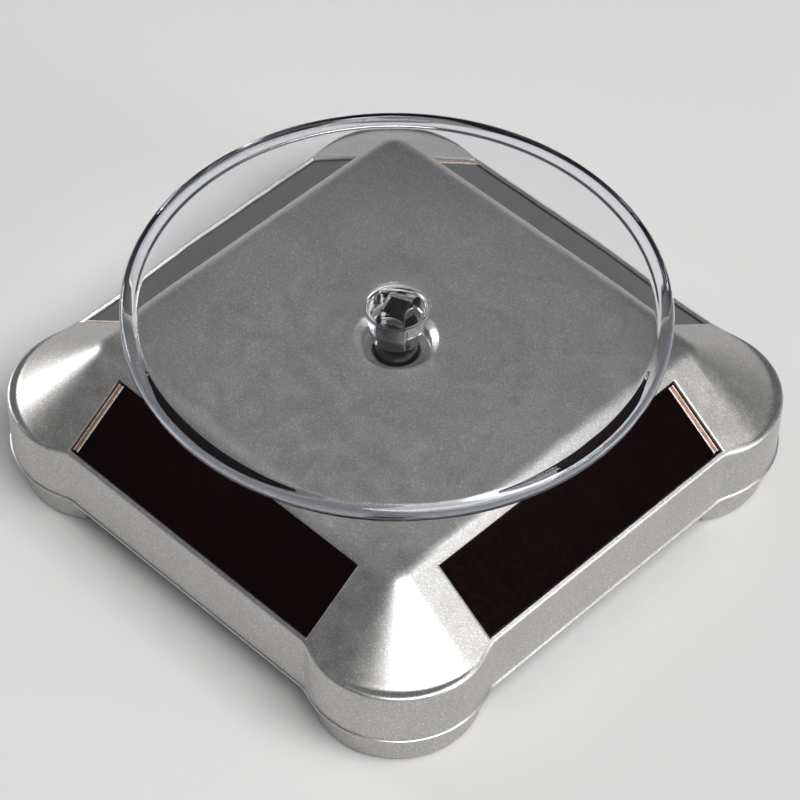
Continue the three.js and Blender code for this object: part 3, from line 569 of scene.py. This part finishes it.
cells()


# ------------------------------------------------------------- bottom cover
def outline(side, r, fil, lobe_n=44, fil_n=6):
    fx = LOBE_C - math.sqrt((r + fil) ** 2 - (side + fil - LOBE_C) ** 2)
    fy = -(side + fil)
    join = math.atan2(fy + LOBE_C, fx - LOBE_C)
    q = []
    for i in range(fil_n + 1):
        a = math.pi / 2 + (join + math.pi / 2) * i / fil_n
        q.append((fx + fil * math.cos(a), fy + fil * math.sin(a)))
    other = -math.pi / 2 - join
    for i in range(1, lobe_n):
        a = join + (other - join) * i / lobe_n
        q.append((LOBE_C + r * math.cos(a), -LOBE_C + r * math.sin(a)))
    for i in range(fil_n, -1, -1):
        a = math.pi / 2 + (join + math.pi / 2) * i / fil_n
        q.append((-(fy + fil * math.sin(a)), -(fx + fil * math.cos(a))))
    out = []
    for k in range(4):
        c, s = round(math.cos(k * math.pi / 2)), round(math.sin(k * math.pi / 2))
        out += [(x * c - y * s, x * s + y * c) for x, y in q]
    return out


def foot_outline(r, inset, round_r, n=40):
    low = FOOT_CUT + inset
    d = low - FOOT_C
    reach = math.sqrt(r * r - d * d)
    a0, a1 = math.atan2(d, reach), math.atan2(reach, d)
    pts = [(low, low)]
    for i in range(n + 1):
        a = a0 + (a1 - a0) * i / n
        pts.append((FOOT_C + r * math.cos(a), FOOT_C + r * math.sin(a)))
    # corners at the two ends of the arc and where the flat faces meet
    keep = round_corners([pts[0], pts[1]] + pts[4:-4] + [pts[-1]], round_r, 8)
    return keep


def placed(pts, sx, sy):
    out = [(x * sx, y * sy) for x, y in pts]
    return out[::-1] if sx * sy < 0 else out


def edge_rings(pts, z0, z1, edge, steps=5, top=0.0):
    """Rings of an upright prism whose lower edge (and upper edge, if top) is rounded."""
    rings = []
    for k in range(steps + 1):
        a = math.pi / 2 * k / steps
        rings.append(rounded_ring(pts, edge * (1 - math.sin(a)), z0 + edge * (1 - math.cos(a))))
    if top:
        for k in range(steps + 1):
            a = math.pi / 2 * k / steps
            rings.append(rounded_ring(pts, top * (1 - math.cos(a)), z1 - top * (1 - math.sin(a))))
        rings.append(rounded_ring(pts, top + 0.04, z1))
    else:
        rings.append(rounded_ring(pts, 0, z1))
    rings.insert(0, rounded_ring(pts, edge + 0.04, z0))
    return rings


def bottom_cover():
    edge = outline(SIDE_B - 1.3, LOBE_B - 1.3, FILLET + 1.3)
    ob = temp("base_plate", *loft(edge_rings(edge, Z_EDGE, Z_COVER, 0.2, 3)))
    feet = [temp("tool", *loft(edge_rings(placed(foot_outline(FOOT_R, 0, 0.7), sx, sy), 0.5, Z_EDGE + 1, 0.45)))
            for sx, sy in CORNERS.values()]
    boolean(ob, feet, "UNION")
    x0, x1, y1 = BAY_X - BAY_W / 2, BAY_X + BAY_W / 2, BAY_L / 2
    boolean(ob, [box_temp(x0 - BAY_WALL, x1 + BAY_WALL, -y1 - BAY_WALL, y1 + BAY_WALL, Z_EDGE + 1, BAY_TOP + 1.2)], "UNION")
    cuts = []
    for sx, sy in CORNERS.values():
        cuts.append(prism_temp(placed(foot_outline(FOOT_R - 1.7, 1.7, 0.7), sx, sy), -1, 1.5))
        cuts.append(rod_temp(sx * LOBE_C, sy * LOBE_C, 3.3, -1, 6.4))
        cuts.append(rod_temp(sx * LOBE_C, sy * LOBE_C, 1.7, -1, 12, 24))
    cuts.append(box_temp(x0, x1, -y1, y1, 5, BAY_TOP))
    cuts.append(box_temp(x0 - 0.9, x1 + 0.9, -y1 - 0.5, y1 + 0.5, 5, Z_COVER))
    cuts.append(box_temp(BAY_X - 5.4, BAY_X + 5.4, -y1 - 0.6, y1 + 0.6, 11.2, 22.6))
    cuts.append(box_temp(SWITCH_X - 3.3, SWITCH_X + 3.3, SWITCH_Y - 1.9, SWITCH_Y + 1.9, 5, 12))
    cuts.append(prism_temp(round_corners([(BAY_X - 4, y1 + 0.3), (BAY_X + 4, y1 + 0.3), (BAY_X + 4, y1 + 3), (BAY_X - 4, y1 + 3)], 1.5), 5, 8))
    boolean(ob, cuts, "DIFFERENCE")
    shade(ob, 35)
    ob.data.materials.clear()
    ob.data.materials.append(SILVER)
    ob.name = ob.data.name = "base_plate"
    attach(ob, "base")
    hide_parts("bottom_cover")


bottom_cover()


def pads():
    for name, (sx, sy) in CORNERS.items():
        pts = placed(foot_outline(FOOT_R - 2, 2, 0.8), sx, sy)
        ob = new_object("foam_foot_" + name, *loft(edge_rings(pts, 0.0, 1.2, 0.18, 3)), "base", 50, [FOAM])
        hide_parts("foot_pad_" + name)


pads()


def screws():
    for name, (sx, sy) in CORNERS.items():
        cx, cy = sx * LOBE_C, sy * LOBE_C
        prof = [(0, 3.95)] + [(0.6, 3.95), (1.4, 4.0), (2.0, 4.1), (2.35, 4.25), (2.6, 4.5), (2.74, 4.8), (2.78, 5.1), (2.78, 6.0), (2.7, 6.1), (1.35, 6.1), (1.25, 6.2),
                               (1.25, 14.4), (0.4, 15.6), (0, 15.8)]
        ob = temp("case_screw_head_" + name, *lathe(prof, 48, cx, cy))
        cross = []
        for turn in (0.35, 0.35 + math.pi / 2):
            c, s = math.cos(turn), math.sin(turn)
            ring = lambda hw, hl, z: [(cx + a * c - b * s, cy + a * s + b * c, z) for a, b in ((-hl, -hw), (hl, -hw), (hl, hw), (-hl, hw))]
            cross.append(temp("tool", *loft([ring(0.36, 1.65, 3.0), ring(0.36, 1.65, 4.0), ring(0.2, 0.7, 5.3)])))
        boolean(ob, cross, "DIFFERENCE")
        ob.data.materials.clear()
        ob.data.materials.append(ZINC)
        shade(ob, 35)
        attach(ob, "base")
        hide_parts("case_screw_" + name)


screws()


# ------------------------------------------------------------- battery door
def door():
    w, l = BAY_W / 2 + 0.6, BAY_L / 2 + 0.2
    pts = round_corners([(BAY_X - w, -l), (BAY_X + w, -l), (BAY_X + w, l), (BAY_X - w, l)], 0.8, 5)
    ob = temp("door_panel", *loft(edge_rings(pts, Z_EDGE, Z_COVER - 0.3, 0.25, 3)))
    cuts = []
    for i in range(4):
        y = 17.5 + i * 1.8
        groove = round_corners([(BAY_X - 4, y), (BAY_X + 4, y), (BAY_X + 4, y + 0.8), (BAY_X - 4, y + 0.8)], 0.38, 5)
        cuts.append(prism_temp(groove, 6, Z_EDGE + 0.5))
    boolean(ob, cuts, "DIFFERENCE")
    ribs = [box_temp(BAY_X - 6.6, BAY_X - 5.6, -20, 20, 8.5, 9.8), box_temp(BAY_X + 5.6, BAY_X + 6.6, -20, 20, 8.5, 9.8)]
    boolean(ob, ribs, "UNION")
    ob.data.materials.clear()
    ob.data.materials.append(SILVER)
    shade(ob, 35)
    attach(ob, "door")
    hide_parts("battery_door")


door()


# -------------------------------------------------------------- drive shaft
def shaft():
    prof = [(0, 19.1), (HUB_R - 0.1, 19.1), (HUB_R, 19.2), (HUB_R, 24), (HUB_R, HUB_TOP - 0.42)] + arc(HUB_R - 0.4, HUB_TOP - 0.4, 0.4, 0, 90, 6) + [(1.2, HUB_TOP), (0, HUB_TOP)]
    ob = temp("hub", *lathe(prof, 96))
    hexa = [(2.4 * math.cos(STUB_TURN + k * math.pi / 3), 2.4 * math.sin(STUB_TURN + k * math.pi / 3)) for k in range(6)]
    boolean(ob, [prism_temp(round_corners(hexa, 0.2, 2), 16.2, 19.4)], "UNION")
    h = STUB / 2
    sq = [(x * math.cos(STUB_TURN) - y * math.sin(STUB_TURN), x * math.sin(STUB_TURN) + y * math.cos(STUB_TURN))
          for x, y in ((-h, -h), (h, -h), (h, h), (-h, h))]
    sq = round_corners(sq, 0.25, 4)
    boolean(ob, [temp("tool", *loft(edge_rings(sq, HUB_TOP - 1, STUB_TOP, 0.01, 1, top=0.22)))], "UNION")
    boolean(ob, [rod_temp(0, 0, 0.98, 15, 21.6, 32)], "DIFFERENCE")
    ob.name = ob.data.name = "drive_hub"
    ob.data.materials.clear()
    ob.data.materials.append(HUB)
    shade(ob, 40)
    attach(ob, "drive")
    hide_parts("drive_shaft")


shaft()


# ------------------------------------------------------------------ platter
def platter():
    R = DISC_R
    prof = [(0, BOSS_BOTTOM), (2.0, BOSS_BOTTOM), (3.6, BOSS_BOTTOM), (BOSS_R - 0.32, BOSS_BOTTOM)]
    prof += arc(BOSS_R - 0.3, BOSS_BOTTOM + 0.3, 0.3, -80, 0, 5)
    prof += [(BOSS_R, 31.6), (BOSS_R + 0.01, 33.0), (BOSS_R + 0.03, 34.2), (BOSS_R + 0.08, 34.9)]
    prof += [(BOSS_R + 1.35 - 1.3 * math.cos(math.radians(a)), DISC_UNDER - 1.85 + 1.8 * math.sin(math.radians(a))) for a in (8, 20, 32, 44, 56, 68, 80)]
    prof += [(BOSS_R + 1.5, DISC_UNDER), (8, DISC_UNDER), (14, DISC_UNDER), (22, DISC_UNDER), (30, DISC_UNDER), (37, DISC_UNDER), (R - 3.2, DISC_UNDER)]
    prof += [(R - 2.9, DISC_UNDER - 0.02), (R - 2.6, DISC_UNDER - 0.12), (R - 2.3, DISC_UNDER - 0.34), (R - 2.0, DISC_UNDER - 0.45), (R - 1.6, RIM_UNDER + 0.01)]
    prof += arc(R - 0.95, RIM_UNDER + 0.95, 0.95, -90, 0, 9)[0:]
    prof += [(R, 38.4)]
    prof += arc(R - 0.95, DISC_TOP - 0.95, 0.95, 0, 90, 9)
    prof += [(R - 1.5, DISC_TOP), (38, DISC_TOP), (30, DISC_TOP), (22, DISC_TOP), (14, DISC_TOP), (8, DISC_TOP), (4, DISC_TOP), (0, DISC_TOP)]
    ob = temp("disc", *lathe(prof, 180))
    h = SOCKET / 2
    sq = [(x * math.cos(STUB_TURN) - y * math.sin(STUB_TURN), x * math.sin(STUB_TURN) + y * math.cos(STUB_TURN))
          for x, y in ((-h, -h), (h, -h), (h, h), (-h, h))]
    boolean(ob, [prism_temp(round_corners(sq, 0.3, 4), 29, SOCKET_TOP)], "DIFFERENCE")
    ob.name = ob.data.name = "display_disc"
    ob.data.materials.clear()
    ob.data.materials.append(CLEAR)
    ob.data.materials.append(RIM)
    for p in ob.data.polygons:
        p.material_index = 1 if math.hypot(p.center.x, p.center.y) > (R - 1.0) * MM else 0
    shade(ob, 40)
    ob.visible_shadow = False
    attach(ob, "platter")
    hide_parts("platter")


platter()

# ---------------------------------------------------------- carried-over CAD
INNER = {
    BLACK_ABS: ["switch_body", "motor_end_cap", "switch_slider"],
    GREY_ABS: ["gearbox_base", "gearbox_plate"],
    STEEL: ["battery_spring_contact", "battery_flat_contact", "gear_pin_first", "gear_pin_second", "centre_spindle"],
    ZINC: ["gearbox_screw_1", "gearbox_screw_2", "gearbox_screw_3"],
    NYLON: ["first_gear", "second_gear", "output_gear"],
    CAN: ["motor_can"],
    ARMATURE: ["motor_rotor"],
    BRASS: ["motor_pinion", "motor_terminal_positive", "motor_terminal_negative"],
    FERRITE: ["motor_magnet_1", "motor_magnet_2"],
    RED_PVC: ["solar_harness_red", "battery_lead_red", "switch_lead_red"],
    BLACK_PVC: ["solar_harness_black", "battery_lead_black"],
}
for mat, names in INNER.items():
    for name in names:
        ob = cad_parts[name]
        for s in ob.material_slots:
            s.material = mat
        if not ob.material_slots:
            ob.data.materials.append(mat)

# ------------------------------------------------------------ floor, lights
def floor():
    mesh = bpy.data.meshes.new("floor")
    s, n = 1.6, 24
    z = -0.00002  # just clear of the foot pads
    verts = [(-s + 2 * s * i / n, -s + 2 * s * j / n, z) for j in range(n + 1) for i in range(n + 1)]
    faces = [(j * (n + 1) + i, j * (n + 1) + i + 1, (j + 1) * (n + 1) + i + 1, (j + 1) * (n + 1) + i) for j in range(n) for i in range(n)]
    mesh.from_pydata(verts, [], faces)
    ob = bpy.data.objects.new("floor", mesh)
    scene.collection.objects.link(ob)
    mesh.materials.append(grained("floor_paper", (0.62, 0.615, 0.61), 0.75, 0.0, grain=0.0008, vary=0.01, rvary=0.03, strength=0.04, blotch=0.3))


floor()


def softbox(name, direction, dist, size, power, colour=(1, 1, 1), aim=(0, 0, 0.02)):
    d = Vector(direction).normalized()
    data = bpy.data.lights.new(name, "AREA")
    data.shape = "RECTANGLE"
    data.size, data.size_y = size
    data.energy = power
    data.color = colour
    ob = bpy.data.objects.new(name, data)
    ob.location = Vector(aim) + d * dist
    ob.rotation_euler = d.to_track_quat("Z", "Y").to_euler()
    scene.collection.objects.link(ob)
    return ob


softbox("key", (0.53, -0.07, 0.845), 2.2, (1.96, 1.37), 58)
softbox("left_rim", (-0.94, -0.10, 0.33), 2.2, (0.83, 0.49), 14.5)
softbox("right_side", (0.88, 0.30, 0.24), 2.2, (0.99, 0.66), 16.5)


def studio():
    """A pale wall all round that fades to a dim ceiling."""
    world = bpy.data.worlds.new("studio")
    world.use_nodes = True
    nt = world.node_tree
    back = nt.nodes["Background"]
    split = nt.nodes.new("ShaderNodeSeparateXYZ")
    nt.links.new(nt.nodes.new("ShaderNodeTexCoord").outputs["Generated"], split.inputs["Vector"])
    nt.links.new(ramp(nt, split.outputs["Z"], [(0.0, (0.50, 0.505, 0.51)), (0.10, (0.42, 0.425, 0.43)), (0.42, (0.075, 0.077, 0.08))]), back.inputs["Color"])
    back.inputs["Strength"].default_value = 1.0
    return world


world = studio()
scene.world = world
scene.view_settings.view_transform = "Standard"
